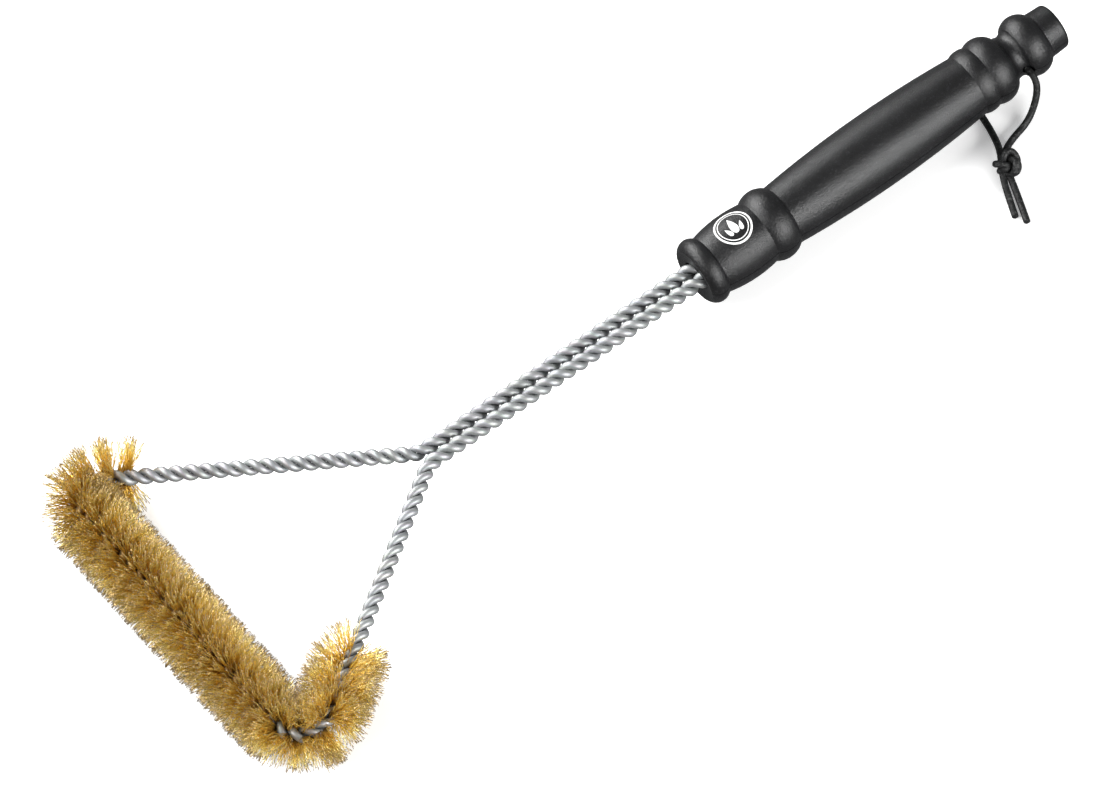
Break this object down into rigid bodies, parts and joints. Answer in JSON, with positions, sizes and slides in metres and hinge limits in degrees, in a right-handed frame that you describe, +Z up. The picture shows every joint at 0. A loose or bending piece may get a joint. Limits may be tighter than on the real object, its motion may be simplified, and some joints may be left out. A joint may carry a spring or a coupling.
{
  "type": "grill cleaning brush",
  "caption": "Triangular grill brush: twisted steel wire frame wound with brass bristles, hollow turned-look plastic handle and a knotted hanging cord.",
  "frame": {"origin": "centre of the brush's box, cord left out, on the surface it lies on", "axes": "+X along the handle from its mouth to its end face, +Z up, square to the plane of the head"},
  "size_m": [0.4716, 0.1976, 0.0374],
  "materials": {
    "handle_plastic": "satin moulded",
    "ferrule_steel": "plain",
    "steel_wire": "satin drawn",
    "brass_bristle": "fine wire",
    "cord": "waxed cord"
  },
  "bodies": {
    "brush": {"handle_top_shell": "handle_plastic", "handle_bottom_shell": "handle_plastic", "anchor_ferrule": "ferrule_steel", "left_stem_wire_a": "steel_wire", "left_stem_wire_b": "steel_wire", "left_shoulder_wire_a": "steel_wire", "left_shoulder_wire_b": "steel_wire", "left_arm_wire_a": "steel_wire", "left_arm_wire_b": "steel_wire", "left_corner_wire_a": "steel_wire", "left_corner_wire_b": "steel_wire", "head_wire_a": "steel_wire", "head_wire_b": "steel_wire", "right_corner_wire_a": "steel_wire", "right_corner_wire_b": "steel_wire", "right_arm_wire_a": "steel_wire", "right_arm_wire_b": "steel_wire", "right_shoulder_wire_a": "steel_wire", "right_shoulder_wire_b": "steel_wire", "right_stem_wire_a": "steel_wire", "right_stem_wire_b": "steel_wire", "left_arm_bristles": "brass_bristle", "left_corner_bristles": "brass_bristle", "head_bristles_1": "brass_bristle", "head_bristles_2": "brass_bristle", "head_bristles_3": "brass_bristle", "head_bristles_4": "brass_bristle", "right_corner_bristles": "brass_bristle", "right_arm_bristles": "brass_bristle"},
    "hang_loop": {"front_cord_leg": "cord", "rear_cord_leg": "cord", "cord_knot": "cord", "long_cord_end": "cord", "short_cord_end": "cord"}
  },
  "joints": [
    {"name": "loop_swing", "type": "hinge", "parent": "brush", "child": "hang_loop", "pos_m": [0.21347, -0.00538, 0.0187], "axis": [0, -1, 0], "range_deg": [0, 150]}
  ]
}
